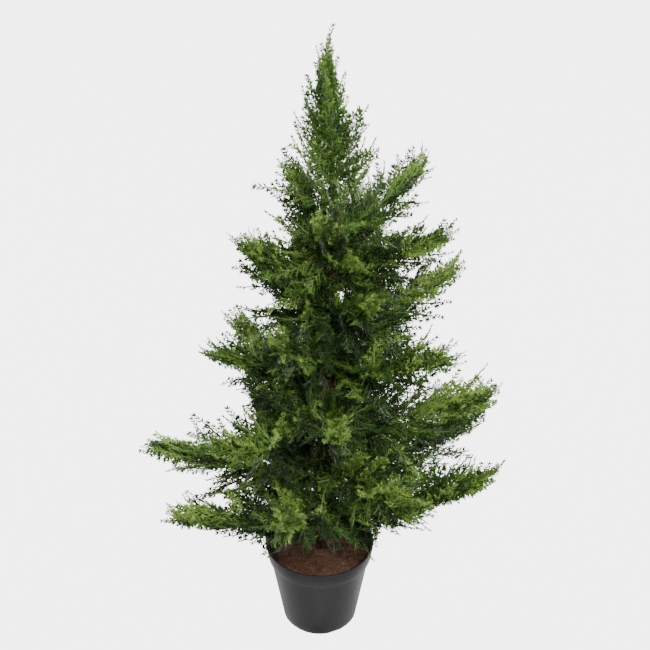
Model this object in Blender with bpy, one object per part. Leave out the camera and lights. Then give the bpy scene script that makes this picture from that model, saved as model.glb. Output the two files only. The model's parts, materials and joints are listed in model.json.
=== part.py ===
"""A potted artificial cedar, about 0.9 m tall.

A moulded nursery pot holds a cement plug. The plug holds a steel rod inside a bark
cover, and coir packing hides it. Wired branches climb the trunk in a spiral, each one
a stem with a round root in a socket of the bark and a flat spray of foliage on it. An
upright leader stands on the trunk's top.

Frame: the origin is the centre of the pot's underside, +Z is up, and the front is -Y.
Metres. Angles are in degrees.
"""

import math

import bmesh
import bpy
from mathutils import Matrix, Vector

# Nursery pot
POT_HEIGHT = 0.133
RIM_RADIUS = 0.075
RIM_BAND_HEIGHT = 0.0235
RIM_BAND_TAPER = 0.0035
RIM_STEP = 0.003
POT_WALL = 0.0018
POT_FLOOR = 0.0025
WALL_FOOT_RADIUS = 0.051
FOOT_HEIGHT = 0.006
FOOT_TAPER = 0.0045
DRAIN_COUNT = 4
DRAIN_FIRST_AZIMUTH = -65.0
DRAIN_WIDTH = 0.015
DRAIN_HEIGHT = 0.0045
DRAIN_DEPTH = 0.009

# What fills the pot
FIT_GAP = 0.0004
BALLAST_TOP = 0.075
COIR_BELOW_RIM = 0.008
COIR_CROWN = 0.003
COIR_EDGE_DROP = 0.003
COIR_SHOULDER = 0.55

# Trunk
ROD_RADIUS = 0.003
ROD_SET_DEPTH = 0.06
ROD_TOP_GAP = 0.012
BARK_FOOT_RADIUS = 0.011
BARK_TOP_RADIUS = 0.0072
BARK_ABOVE_LAST_ROOT = 0.034
TRUNK_LEAN = 2.0

# Branch roots: a ball on the stem sits in a socket of the bark
BALL_RADIUS = 0.0026
BALL_PLAY = 0.0005
BALL_STAND_OUT = 0.001
BALL_FIRST_ANGLE = 22.5
BALL_TURN = 112.5

# Branches, from the lowest to the highest
BRANCH_COUNT = 26
FIRST_AZIMUTH = 200.0
GOLDEN_ANGLE = 180.0 * (3.0 - math.sqrt(5.0))
FIRST_ROOT_ABOVE_RIM = 0.032
ROOT_PITCH = 0.0182
FIRST_LENGTH = 0.235
LAST_LENGTH = 0.118
FIRST_RISE = 12.0
LAST_RISE = 48.0
RISE_POWER = 1.3

# Branches bent by hand: number from the lowest, share of the usual length, extra rise
BENT_BY_HAND = {
    0: (0.93, 6.0),
    1: (1.18, 17.0),
    3: (0.95, 11.0),
    4: (1.22, -7.0),
    5: (1.11, -18.0),
    6: (1.00, -4.0),
    9: (1.14, -3.0),
    13: (0.92, -6.0),
    14: (1.15, 0.0),
    17: (1.18, -8.0),
    22: (1.20, -10.0),
    25: (1.27, -22.0),
}

# Stems
STEM_ROOT_RADIUS = 0.0020
STEM_TIP_RADIUS = 0.0010
STEM_SHARE = 0.80
STEM_RINGS = 4
STEM_PLAY = 0.0004
STEM_FIRST_RING = 2.2 * BALL_RADIUS

# Foliage, as shares of the branch's length
FOLIAGE_START = 0.16
FOLIAGE_HALF_WIDTH = 0.165
FOLIAGE_HALF_THICKNESS = 0.07
FOLIAGE_WIDEST = 0.42
FOLIAGE_RIDGE = 0.45
FOLIAGE_RIDGE_PLACE = 0.5
FOLIAGE_RINGS = 7
THROAT_WALL = 0.0010

# Leader
LEADER_LENGTH = 0.245
LEADER_START = 0.030
LEADER_HALF_WIDTH = 0.040
LEADER_HALF_DEPTH = 0.030
LEADER_LEAN = -6.0
LEADER_ROOT_LIFT = 0.0015

# Facets
POT_SEGMENTS = 48
TRUNK_SEGMENTS = 24
ROD_SEGMENTS = 16
DRAIN_SEGMENTS = 16
SOCKET_SEGMENTS = 10
SOCKET_RINGS = 6
BALL_RINGS = 5
STEM_BEVEL_STEPS = 2
SHARP_ANGLE = 35.0
MERGE_DISTANCE = 1e-6
EMPTY_SIZE = 0.01

# Values worked out from the sizes above
RIM_BAND_BOTTOM = POT_HEIGHT - RIM_BAND_HEIGHT
RIM_BAND_FOOT_RADIUS = RIM_RADIUS - RIM_BAND_TAPER
WALL_TOP_RADIUS = RIM_BAND_FOOT_RADIUS - RIM_STEP
FOOT_RADIUS = WALL_FOOT_RADIUS - FOOT_TAPER
COIR_TOP = POT_HEIGHT - COIR_BELOW_RIM
FIRST_ROOT = POT_HEIGHT + FIRST_ROOT_ABOVE_RIM
BARK_FOOT = BALLAST_TOP + FIT_GAP
BARK_TOP = FIRST_ROOT + ROOT_PITCH * (BRANCH_COUNT - 1) + BARK_ABOVE_LAST_ROOT
SOCKET_RADIUS = BALL_RADIUS + BALL_PLAY


# ---------------------------------------------------------------- helpers


def clear_scene():
    """Removes whatever the scene holds."""
    for item in list(bpy.data.objects):
        bpy.data.objects.remove(item, do_unlink=True)


def plain(name, colour, roughness, metallic=0.0):
    """A Principled material of one colour."""
    made = bpy.data.materials.new(name)
    made.use_nodes = True
    shader = made.node_tree.nodes["Principled BSDF"]
    shader.inputs["Base Color"].default_value = (*colour, 1.0)
    shader.inputs["Roughness"].default_value = roughness
    shader.inputs["Metallic"].default_value = metallic
    made.diffuse_color = (*colour, 1.0)
    return made


def link(name, data, material):
    """A new object of that mesh or curve, with its own material."""
    made = bpy.data.objects.new(name, data)
    data.materials.append(material)
    bpy.context.scene.collection.objects.link(made)
    return made


def empty_at(name, place, turn):
    """An empty that a moving piece hangs on."""
    made = bpy.data.objects.new(name, None)
    made.location = place
    made.rotation_euler = turn
    made.empty_display_size = EMPTY_SIZE
    bpy.context.scene.collection.objects.link(made)
    return made


def lean_about(stand, height, degrees):
    """Turns an empty towards +X about the point of the Z axis at that height."""
    angle = math.radians(degrees)
    stand.rotation_euler = (0.0, angle, 0.0)
    stand.location = (-height * math.sin(angle), 0.0, height * (1.0 - math.cos(angle)))


def stand_on(stand, *pieces):
    """Hangs pieces on an empty, in the empty's own frame."""
    for piece in pieces:
        piece.parent = stand


def mesh_from(name, shape):
    """A mesh from a bmesh, with its faces turned outwards."""
    bmesh.ops.recalc_face_normals(shape, faces=shape.faces)
    made = bpy.data.meshes.new(name)
    shape.to_mesh(made)
    shape.free()
    return made


def turned(name, profile, segments, material):
    """A solid turned about Z from a list of (radius, height) points."""
    shape = bmesh.new()
    points = [shape.verts.new((radius, 0.0, height)) for radius, height in profile]
    closing = [] if profile[0][0] == 0.0 and profile[-1][0] == 0.0 else [(points[-1], points[0])]
    edges = [shape.edges.new(pair) for pair in list(zip(points, points[1:])) + closing]
    bmesh.ops.spin(
        shape,
        geom=points + edges,
        axis=(0.0, 0.0, 1.0),
        cent=(0.0, 0.0, 0.0),
        angle=math.tau,
        steps=segments,
        use_merge=True,
    )
    bmesh.ops.remove_doubles(shape, verts=shape.verts, dist=MERGE_DISTANCE)
    mesh = mesh_from(name, shape)
    mesh.shade_smooth()
    mesh.set_sharp_from_angle(angle=math.radians(SHARP_ANGLE))
    return link(name, mesh, material)


def cut_with(target, cutter):
    """Subtracts a wire-drawn guide object from a piece."""
    cutter.hide_render = True
    cutter.display_type = "WIRE"
    cut = target.modifiers.new("cut", "BOOLEAN")
    cut.operation = "DIFFERENCE"
    cut.solver = "EXACT"
    cut.object = cutter


def ring(shape, x, points):
    """A loop of vertices across X, from (y, z) points."""
    return [shape.verts.new((x, y, z)) for y, z in points]


def bridge(shape, first, second):
    """Faces between two loops of as many vertices."""
    count = len(first)
    for i in range(count):
        j = (i + 1) % count
        shape.faces.new((first[i], first[j], second[j], second[i]))


# ---------------------------------------------------------------- pot


def between(height, lower, upper):
    """The radius at a height on the line between two (radius, height) points."""
    share = (height - lower[1]) / (upper[1] - lower[1])
    return lower[0] + (upper[0] - lower[0]) * share


def inside_radius(height):
    """The pot's inner radius: it follows the foot's taper, the wall and then the rim band."""
    inner = [
        (FOOT_RADIUS - POT_WALL, 0.0),
        (WALL_FOOT_RADIUS - POT_WALL, FOOT_HEIGHT),
        (WALL_TOP_RADIUS - POT_WALL, RIM_BAND_BOTTOM),
        (RIM_RADIUS - POT_WALL, POT_HEIGHT),
    ]
    for lower, upper in zip(inner, inner[1:]):
        if height <= upper[1]:
            return between(height, lower, upper)
    return RIM_RADIUS - POT_WALL


def nursery_pot():
    """The moulded pot, with its step, its rim band and the drain arches in its foot."""
    profile = [
        (0.0, 0.0),
        (FOOT_RADIUS, 0.0),
        (WALL_FOOT_RADIUS, FOOT_HEIGHT),
        (WALL_TOP_RADIUS, RIM_BAND_BOTTOM),
        (RIM_BAND_FOOT_RADIUS, RIM_BAND_BOTTOM),
        (RIM_RADIUS, POT_HEIGHT),
        (RIM_RADIUS - POT_WALL, POT_HEIGHT),
        (inside_radius(RIM_BAND_BOTTOM), RIM_BAND_BOTTOM),
        (inside_radius(FOOT_HEIGHT), FOOT_HEIGHT),
        (inside_radius(POT_FLOOR), POT_FLOOR),
        (0.0, POT_FLOOR),
    ]
    dark = plain("pot plastic", (0.045, 0.045, 0.047), 0.42)
    pot = turned("nursery_pot", profile, POT_SEGMENTS, dark)
    cut_with(pot, drain_cutter(dark))


def drain_cutter(material):
    """The drain arches cut in the pot's foot: half ovals, standing on the ground plane."""
    shape = bmesh.new()
    for i in range(DRAIN_COUNT):
        azimuth = math.radians(DRAIN_FIRST_AZIMUTH + 360.0 * i / DRAIN_COUNT)
        lie = Matrix.Rotation(math.pi / 2, 4, "Y")
        squash = Matrix.Diagonal((1.0, DRAIN_WIDTH / 2, DRAIN_HEIGHT, 1.0))
        move = Matrix.Translation((FOOT_RADIUS, 0.0, 0.0))
        bmesh.ops.create_cone(
            shape,
            cap_ends=True,
            segments=DRAIN_SEGMENTS,
            radius1=1.0,
            radius2=1.0,
            depth=2 * DRAIN_DEPTH,
            matrix=Matrix.Rotation(azimuth, 4, "Z") @ move @ squash @ lie,
        )
    return link("drain_cutter", mesh_from("drain_cutter", shape), material)


def ballast(trunk_cutter):
    """The cement plug, cast with a hole for the rod."""
    foot = POT_FLOOR + FIT_GAP
    profile = [
        (0.0, foot),
        (inside_radius(foot) - 2 * FIT_GAP, foot),
        (inside_radius(FOOT_HEIGHT) - 2 * FIT_GAP, FOOT_HEIGHT),
        (inside_radius(BALLAST_TOP) - 2 * FIT_GAP, BALLAST_TOP),
        (0.0, BALLAST_TOP),
    ]
    plug = turned("ballast", profile, POT_SEGMENTS, plain("cement", (0.42, 0.41, 0.39), 0.9))
    cut_with(plug, trunk_cutter)


def coir_fill(trunk_cutter):
    """Coir packing with a crowned top, round the trunk."""
    foot = BALLAST_TOP + FIT_GAP
    edge_top = COIR_TOP - COIR_EDGE_DROP
    profile = [
        (0.0, foot),
        (inside_radius(foot) - 2 * FIT_GAP, foot),
        (inside_radius(RIM_BAND_BOTTOM) - 2 * FIT_GAP, RIM_BAND_BOTTOM),
        (inside_radius(edge_top) - 2 * FIT_GAP, edge_top),
        (COIR_SHOULDER * RIM_RADIUS, COIR_TOP),
        (0.0, COIR_TOP + COIR_CROWN),
    ]
    coir = turned("coir_fill", profile, POT_SEGMENTS, plain("coir", (0.075, 0.040, 0.020), 0.95))
    cut_with(coir, trunk_cutter)


# ---------------------------------------------------------------- trunk


def bark_radius(height):
    """The bark's outer radius at a height."""
    return between(height, (BARK_FOOT_RADIUS, BARK_FOOT), (BARK_TOP_RADIUS, BARK_TOP))


def trunk_clearance(stand):
    """The guide that cuts the rod's hole in the ballast and the bark's hole in the coir."""
    rod = ROD_RADIUS + FIT_GAP
    bark = BARK_FOOT_RADIUS + FIT_GAP
    foot = BALLAST_TOP - ROD_SET_DEPTH
    top = POT_HEIGHT + COIR_CROWN
    profile = [(0.0, foot), (rod, foot), (rod, BARK_FOOT), (bark, BARK_FOOT), (bark, top), (0.0, top)]
    cutter = turned("trunk_cutter", profile, TRUNK_SEGMENTS, plain("guide", (0.5, 0.5, 0.5), 0.5))
    stand_on(stand, cutter)
    return cutter


def trunk_rod(stand):
    """The steel rod, from the ballast up into the bark cover."""
    foot = BALLAST_TOP - ROD_SET_DEPTH + FIT_GAP
    top = BARK_TOP - ROD_TOP_GAP - FIT_GAP
    profile = [(0.0, foot), (ROD_RADIUS, foot), (ROD_RADIUS, top), (0.0, top)]
    steel = plain("steel", (0.55, 0.55, 0.56), 0.35, 1.0)
    stand_on(stand, turned("trunk_rod", profile, ROD_SEGMENTS, steel))


def trunk_bark(stand, roots):
    """The bark cover, with a socket for every branch root and one for the leader."""
    bore = ROD_RADIUS + FIT_GAP
    bore_top = BARK_TOP - ROD_TOP_GAP
    profile = [
        (0.0, bore_top),
        (bore, bore_top),
        (bore, BARK_FOOT),
        (bark_radius(BARK_FOOT), BARK_FOOT),
        (bark_radius(FIRST_ROOT), FIRST_ROOT),
        (bark_radius(BARK_TOP), BARK_TOP),
        (0.0, BARK_TOP),
    ]
    brown = plain("bark", (0.16, 0.075, 0.040), 0.85)
    bark = turned("trunk_bark", profile, TRUNK_SEGMENTS, brown)
    shape = bmesh.new()
    for root in roots:
        bmesh.ops.create_uvsphere(
            shape,
            u_segments=SOCKET_SEGMENTS,
            v_segments=SOCKET_RINGS,
            radius=SOCKET_RADIUS,
            matrix=Matrix.Translation(root),
        )
    sockets = link("socket_cutter", mesh_from("socket_cutter", shape), brown)
    cut_with(bark, sockets)
    stand_on(stand, bark, sockets)


# ---------------------------------------------------------------- branches


def branch_plan():
    """Each branch's name, root point, azimuth, rise and length."""
    plan = []
    for i in range(BRANCH_COUNT):
        share = i / (BRANCH_COUNT - 1)
        stretch, lift = BENT_BY_HAND.get(i, (1.0, 0.0))
        height = FIRST_ROOT + ROOT_PITCH * i
        azimuth = math.radians(FIRST_AZIMUTH + GOLDEN_ANGLE * i)
        out = bark_radius(height) + BALL_STAND_OUT
        plan.append(
            {
                "name": f"branch_{i + 1:02d}",
                "root": Vector((out * math.cos(azimuth), out * math.sin(azimuth), height)),
                "azimuth": azimuth,
                "rise": math.radians(FIRST_RISE + (LAST_RISE - FIRST_RISE) * share**RISE_POWER + lift),
                "length": stretch * (FIRST_LENGTH + (LAST_LENGTH - FIRST_LENGTH) * share),
            }
        )
    return plan


def stem_radius(share):
    """A stem's radius at a share of its length."""
    return STEM_ROOT_RADIUS + (STEM_TIP_RADIUS - STEM_ROOT_RADIUS) * share


def stem(name, length, material):
    """A tapered stem along X from its round root, whose centre is the origin."""
    reach = STEM_SHARE * length
    stations = []
    for i in range(BALL_RINGS):
        angle = math.radians(BALL_FIRST_ANGLE + BALL_TURN * i / (BALL_RINGS - 1))
        stations.append((-BALL_RADIUS * math.cos(angle), BALL_RADIUS * math.sin(angle)))
    for i in range(STEM_RINGS):
        share = (i + 1) / STEM_RINGS
        start = STEM_FIRST_RING if i == 0 else reach * share
        stations.append((start, stem_radius(share)))
    curve = bpy.data.curves.new(name, "CURVE")
    curve.dimensions = "3D"
    curve.bevel_depth = 1.0
    curve.bevel_resolution = STEM_BEVEL_STEPS
    curve.use_fill_caps = True
    line = curve.splines.new("POLY")
    line.points.add(len(stations) - 1)
    for point, (x, radius) in zip(line.points, stations):
        point.co = (x, 0.0, 0.0, 1.0)
        point.radius = radius
    return link(name, curve, material)


def foliage_width(share):
    """From 0 at both ends to 1 at the widest place."""
    power = math.log(0.5) / math.log(FOLIAGE_WIDEST)
    return math.sin(math.pi * share**power)


def foliage(name, start, length, half_width, half_thickness, material):
    """A pointed lens of foliage along X, hollow where the stem enters it."""
    shape = bmesh.new()
    bore = stem_radius(0.0) + STEM_PLAY
    throat = bore + THROAT_WALL
    ridge = (FOLIAGE_RIDGE_PLACE, FOLIAGE_RIDGE)
    section = [(1.0, 0.0), ridge, (0.0, 1.0), (-ridge[0], ridge[1])]
    section += [(-y, -z) for y, z in section]
    circle = [
        (math.cos(math.tau * i / len(section)), math.sin(math.tau * i / len(section)))
        for i in range(len(section))
    ]
    bore_foot = STEM_SHARE * length + STEM_PLAY * 2
    inner = ring(shape, bore_foot, [(y * bore, z * bore) for y, z in circle])
    mouth = ring(shape, start, [(y * bore, z * bore) for y, z in circle])
    shape.faces.new(inner)
    bridge(shape, inner, mouth)
    last = mouth
    for i in range(FOLIAGE_RINGS):
        share = i / FOLIAGE_RINGS
        swell = foliage_width(share)
        wide = max(half_width * swell, throat)
        thick = max(half_thickness * swell, throat)
        x = start + (length - start) * share
        loop = ring(shape, x, [(y * wide, z * thick) for y, z in (circle if i == 0 else section)])
        bridge(shape, last, loop)
        last = loop
    tip = shape.verts.new((length, 0.0, 0.0))
    for i in range(len(last)):
        shape.faces.new((last[i], last[(i + 1) % len(last)], tip))
    mesh = mesh_from(name, shape)
    mesh.shade_smooth()
    mesh.set_sharp_from_angle(angle=math.radians(SHARP_ANGLE))
    return link(name, mesh, material)


def branch(stand, plan, wire_green, leaf_green):
    """One branch: its stem and its foliage, on an empty at its root."""
    root = empty_at(plan["name"] + "_root", plan["root"], (0.0, -plan["rise"], plan["azimuth"]))
    stand_on(stand, root)
    length = plan["length"]
    stand_on(
        root,
        stem(plan["name"] + "_wire", length, wire_green),
        foliage(
            plan["name"] + "_sprays",
            FOLIAGE_START * length,
            length,
            FOLIAGE_HALF_WIDTH * length,
            FOLIAGE_HALF_THICKNESS * length,
            leaf_green,
        ),
    )


def leader(stand, place, wire_green, leaf_green):
    """The upright top, leaning back over the pot."""
    root = empty_at("leader_root", place, (0.0, math.radians(LEADER_LEAN - 90.0), 0.0))
    stand_on(stand, root)
    length = LEADER_LENGTH - LEADER_ROOT_LIFT
    stand_on(
        root,
        stem("leader_wire", length, wire_green),
        foliage(
            "leader_sprays",
            LEADER_START,
            length,
            LEADER_HALF_WIDTH,
            LEADER_HALF_DEPTH,
            leaf_green,
        ),
    )


# ---------------------------------------------------------------- tree


def main():
    """Builds the whole tree."""
    clear_scene()
    stand = empty_at("trunk_stand", (0.0, 0.0, 0.0), (0.0, 0.0, 0.0))
    lean_about(stand, BALLAST_TOP, TRUNK_LEAN)
    plan = branch_plan()
    leader_place = Vector((0.0, 0.0, BARK_TOP + LEADER_ROOT_LIFT))
    wire_green = plain("wire", (0.13, 0.22, 0.06), 0.55)
    nursery_pot()
    clearance = trunk_clearance(stand)
    ballast(clearance)
    coir_fill(clearance)
    trunk_rod(stand)
    trunk_bark(stand, [item["root"] for item in plan] + [leader_place])
    for item in plan:
        branch(stand, item, wire_green, plain(item["name"] + " leaf", (0.05, 0.10, 0.02), 0.6))
    leader(stand, leader_place, wire_green, plain("leader leaf", (0.07, 0.13, 0.03), 0.6))


main()
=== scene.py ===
"""The looks of a potted artificial cedar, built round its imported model.

A dark nursery pot holds coir packing, a moulded bark trunk stands in it, and wired boughs
carry flat cedar sprays: a rachis with twigs on both sides, and needle leaflets on each twig.
Metres, +Z up, front -Y, origin at the centre of the pot's underside.
"""

import json
import logging
import math
import random
from collections.abc import Callable
from dataclasses import dataclass, field, replace
from enum import Enum, IntEnum

import bpy
import numpy as np
from mathutils import Matrix, Vector

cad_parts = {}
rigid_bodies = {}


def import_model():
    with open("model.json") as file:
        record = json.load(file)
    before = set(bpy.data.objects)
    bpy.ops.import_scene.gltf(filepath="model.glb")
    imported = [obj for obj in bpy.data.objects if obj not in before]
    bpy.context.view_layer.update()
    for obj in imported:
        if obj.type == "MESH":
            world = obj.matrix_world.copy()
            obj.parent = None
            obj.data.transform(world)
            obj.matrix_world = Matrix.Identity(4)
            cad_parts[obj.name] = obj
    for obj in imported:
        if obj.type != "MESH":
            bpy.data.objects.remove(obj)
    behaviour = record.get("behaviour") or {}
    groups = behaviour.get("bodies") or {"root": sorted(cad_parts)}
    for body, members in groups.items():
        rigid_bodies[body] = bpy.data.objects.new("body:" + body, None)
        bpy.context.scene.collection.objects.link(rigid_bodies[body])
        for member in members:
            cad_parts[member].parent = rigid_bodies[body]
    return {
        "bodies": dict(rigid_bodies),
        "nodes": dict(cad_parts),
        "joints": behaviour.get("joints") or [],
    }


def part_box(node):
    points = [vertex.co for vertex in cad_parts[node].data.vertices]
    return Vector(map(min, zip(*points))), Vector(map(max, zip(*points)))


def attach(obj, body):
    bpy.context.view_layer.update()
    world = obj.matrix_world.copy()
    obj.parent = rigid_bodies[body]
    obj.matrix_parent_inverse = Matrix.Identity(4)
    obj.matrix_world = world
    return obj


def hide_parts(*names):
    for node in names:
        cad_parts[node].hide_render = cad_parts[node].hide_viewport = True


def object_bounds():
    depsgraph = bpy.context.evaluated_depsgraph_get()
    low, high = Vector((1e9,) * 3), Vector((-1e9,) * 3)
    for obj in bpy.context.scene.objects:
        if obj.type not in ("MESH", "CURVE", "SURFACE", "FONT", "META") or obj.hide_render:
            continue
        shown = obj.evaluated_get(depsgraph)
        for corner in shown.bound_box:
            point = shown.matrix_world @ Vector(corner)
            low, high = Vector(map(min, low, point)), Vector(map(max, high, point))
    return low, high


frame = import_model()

CAD_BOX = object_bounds()
RIM_CLEARANCE = 0.006
COIR_TO_TRUNK = 0.002
FIRST_BOUGH_SEED = 100
GOLDEN_TURN = 137.5
LEAF_DATA = "leaf"
EVEN = (1.0, 1.0, 1.0)
BLACK = (0.0, 0.0, 0.0)
WHITE = (1.0, 1.0, 1.0)
PALETTE_MAP = "OFBake"
LOG = logging.getLogger("potted_cedar")

Piece = bpy.types.Object
Material = bpy.types.Material
Node = bpy.types.Node
Socket = bpy.types.NodeSocket
Tree = bpy.types.NodeTree


# ---------------------------------------------------------------- modelling helpers


def select_only(*pieces: Piece) -> None:
    """Selects these objects and nothing else, and makes the first one active.

    Args:
        pieces: The objects.
    """
    bpy.ops.object.select_all(action="DESELECT")
    for piece in pieces:
        piece.select_set(True)
    bpy.context.view_layer.objects.active = pieces[0]


def active() -> Piece:
    """The active object."""
    return bpy.context.view_layer.objects.active


def named(piece: Piece, name: str) -> Piece:
    """Gives an object and its mesh one name.

    Args:
        piece: The object.
        name: Its new name.

    Returns:
        The same object.
    """
    piece.name = name
    piece.data.name = name
    return piece


def blend_value(start: float, end: float, share: float) -> float:
    """The value at a share of the way from start to end."""
    return start + (end - start) * share


def joined(name: str, pieces: list[Piece]) -> Piece:
    """Joins pieces into the first one.

    Args:
        name: The joined piece's name.
        pieces: The objects, which are used up.

    Returns:
        The joined object.
    """
    select_only(*pieces)
    bpy.ops.object.join()
    return named(active(), name)


def copied(master: Piece, place: Matrix) -> Piece:
    """A copy of a master with its own mesh, moved to its place in that mesh.

    Args:
        master: The object that is repeated.
        place: Where the copy goes, from the master's own frame.

    Returns:
        The copy, linked to the scene.
    """
    made = master.copy()
    made.data = master.data.copy()
    made.data.transform(place)
    bpy.context.scene.collection.objects.link(made)
    return made


def pick(piece: Piece, chosen: Callable[[Vector], bool]) -> None:
    """Selects a piece's vertices by their place, and nothing else of it.

    Args:
        piece: The object, in object mode.
        chosen: Says of a vertex's place whether it is picked.
    """
    mesh = piece.data
    mesh.polygons.foreach_set("select", [False] * len(mesh.polygons))
    mesh.edges.foreach_set("select", [False] * len(mesh.edges))
    mesh.vertices.foreach_set("select", [chosen(vertex.co) for vertex in mesh.vertices])


def turned(degrees: float, axis: str) -> Matrix:
    """A turn about an axis."""
    return Matrix.Rotation(math.radians(degrees), 4, axis)


def place_mesh(piece: Piece, place: Matrix) -> None:
    """Moves a finished piece's mesh, so that its object stays at the origin."""
    piece.data.transform(place)
    piece.data.update()


def painted(piece: Piece, finish: Material) -> None:
    """Gives a piece one finish and no other."""
    piece.data.materials.clear()
    piece.data.materials.append(finish)


def discard(pieces: list[Piece]) -> None:
    """Removes masters and cutters that have done their work.

    Args:
        pieces: The objects to remove, with their meshes.
    """
    for piece in pieces:
        mesh = piece.data
        bpy.data.objects.remove(piece, do_unlink=True)
        if mesh is not None and mesh.users == 0:
            bpy.data.meshes.remove(mesh)


def apply_modifier(piece: Piece, kind: str, **values: object) -> None:
    """Adds a modifier with these values and applies it.

    Args:
        piece: The object that it shapes.
        kind: Blender's name of the modifier's type.
        values: The modifier's settings.
    """
    select_only(piece)
    modifier = piece.modifiers.new(kind.lower(), kind)
    for key, value in values.items():
        setattr(modifier, key, value)
    bpy.ops.object.modifier_apply(modifier=modifier.name)


def bend(piece: Piece, degrees: float, upwards: bool) -> None:
    """Bends a piece that runs along X from the origin.

    Args:
        piece: The object.
        degrees: The bend over its whole length.
        upwards: True towards +Z, False towards +Y.
    """
    lie = turned(-90.0 if upwards else 0.0, "X")
    place_mesh(piece, lie)
    apply_modifier(
        piece, "SIMPLE_DEFORM", deform_method="BEND", deform_axis="Z", angle=math.radians(degrees)
    )
    place_mesh(piece, lie.inverted())


def smooth(piece: Piece, degrees: float = 35.0) -> None:
    """Shades a piece smooth, with edges sharper than the angle kept."""
    select_only(piece)
    bpy.ops.object.shade_smooth_by_angle(angle=math.radians(degrees))


def revolved(name: str, rings: list[tuple[float, float]], sides: int) -> Piece:
    """A round closed solid about Z, drawn out ring by ring from its first disc.

    Args:
        name: The solid's name.
        rings: Radius and height of each ring, in order along the outline.
        sides: Sides of each ring.

    Returns:
        The solid, with its faces turned outwards.
    """
    radius, height = rings[0]
    bpy.ops.object.select_all(action="DESELECT")
    bpy.ops.mesh.primitive_circle_add(
        vertices=sides, radius=radius, fill_type="NGON", location=(0.0, 0.0, height)
    )
    made = active()
    bpy.ops.object.transform_apply(location=True, rotation=True, scale=True)
    bpy.ops.object.mode_set(mode="EDIT")
    bpy.ops.mesh.select_all(action="SELECT")
    for next_radius, next_height in rings[1:]:
        bpy.ops.mesh.extrude_region_move(
            TRANSFORM_OT_translate={"value": (0.0, 0.0, next_height - height)}
        )
        if next_radius != radius:
            factor = next_radius / radius
            bpy.ops.transform.resize(value=(factor, factor, 1.0), center_override=(0.0, 0.0, 0.0))
        radius, height = next_radius, next_height
    bpy.ops.mesh.select_all(action="SELECT")
    bpy.ops.mesh.normals_make_consistent(inside=False)
    bpy.ops.object.mode_set(mode="OBJECT")
    return named(made, name)


def laid_along_x(piece: Piece) -> Piece:
    """Turns a piece that was drawn out along Z so that it runs along X."""
    place_mesh(piece, turned(90.0, "Y"))
    return piece


def stalk(name: str, length: float, radii: tuple[float, float], rings: int, sides: int) -> Piece:
    """A tapered round stem along X from the origin.

    Args:
        name: The stem's name.
        length: Its length.
        radii: Its radius at the root and at the tip.
        rings: Rings after the first one.
        sides: Sides of each ring.

    Returns:
        The stem.
    """
    outline = [(blend_value(*radii, i / rings), length * i / rings) for i in range(rings + 1)]
    return laid_along_x(revolved(name, outline, sides))


# ---------------------------------------------------------------- leaf data


class Channel(IntEnum):
    """What each channel of the leaf data holds."""

    # TINT carries each spray's green, partly painted shade and painted light; TIP drives the
    # painted highlight towards leaflet tips.
    TINT = 0
    TIP = 1
    STEM = 2
    ROW = 3


def start_leaf_data(piece: Piece, stem: bool) -> None:
    """Gives a new leaflet or stem its leaf data and its palette map.

    The tip channel and the map's first axis both run from 0 at the root to 1 at the tip.

    Args:
        piece: A leaflet or stem along X.
        stem: True for a stem.
    """
    mesh = piece.data
    while mesh.uv_layers:
        mesh.uv_layers.remove(mesh.uv_layers[0])
    points = np.empty(len(mesh.vertices) * 3, np.float32)
    mesh.vertices.foreach_get("co", points)
    points = points.reshape(-1, 3)
    along = (points[:, 0] - points[:, 0].min()) / np.ptp(points[:, 0])
    around = np.arctan2(points[:, 1], points[:, 2]) / math.tau + 0.5
    values = np.zeros((len(points), 4), np.float32)
    values[:, Channel.TIP] = 0.0 if stem else along
    values[:, Channel.STEM] = 1.0 if stem else 0.0
    layer = mesh.color_attributes.new(LEAF_DATA, "FLOAT_COLOR", "POINT")
    layer.data.foreach_set("color", values.ravel())
    corners = np.empty(len(mesh.loops), np.int32)
    mesh.loops.foreach_get("vertex_index", corners)
    flat = np.stack([along[corners], around[corners]], 1).astype(np.float32)
    mesh.uv_layers.new(name=PALETTE_MAP).data.foreach_set("uv", flat.ravel())


def edit_leaf_data(piece: Piece, channel: Channel, scale: float, offset: float) -> None:
    """Scales and shifts one channel of a piece's leaf data.

    Args:
        piece: The leaflet, twig or spray.
        channel: The channel to change.
        scale: What its values are multiplied by.
        offset: What is added to them.
    """
    layer = piece.data.color_attributes[LEAF_DATA]
    values = np.empty(len(layer.data) * 4, np.float32)
    layer.data.foreach_get("color", values)
    values = values.reshape(-1, 4)
    values[:, channel] = values[:, channel] * scale + offset
    layer.data.foreach_set("color", values.ravel())


def edit_palette_map(piece: Piece, scale: tuple[float, float], offset: tuple[float, float]) -> None:
    """Scales and shifts a piece's palette map into its cell.

    Args:
        piece: The rachis, twig or spray.
        scale: The cell's width and height.
        offset: The cell's lower left corner.
    """
    layer = piece.data.uv_layers[PALETTE_MAP]
    values = np.empty(len(layer.data) * 2, np.float32)
    layer.data.foreach_get("uv", values)
    values = values.reshape(-1, 2) * np.float32(scale) + np.float32(offset)
    layer.data.foreach_set("uv", values.astype(np.float32).ravel())


# ---------------------------------------------------------------- shader helpers


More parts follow.
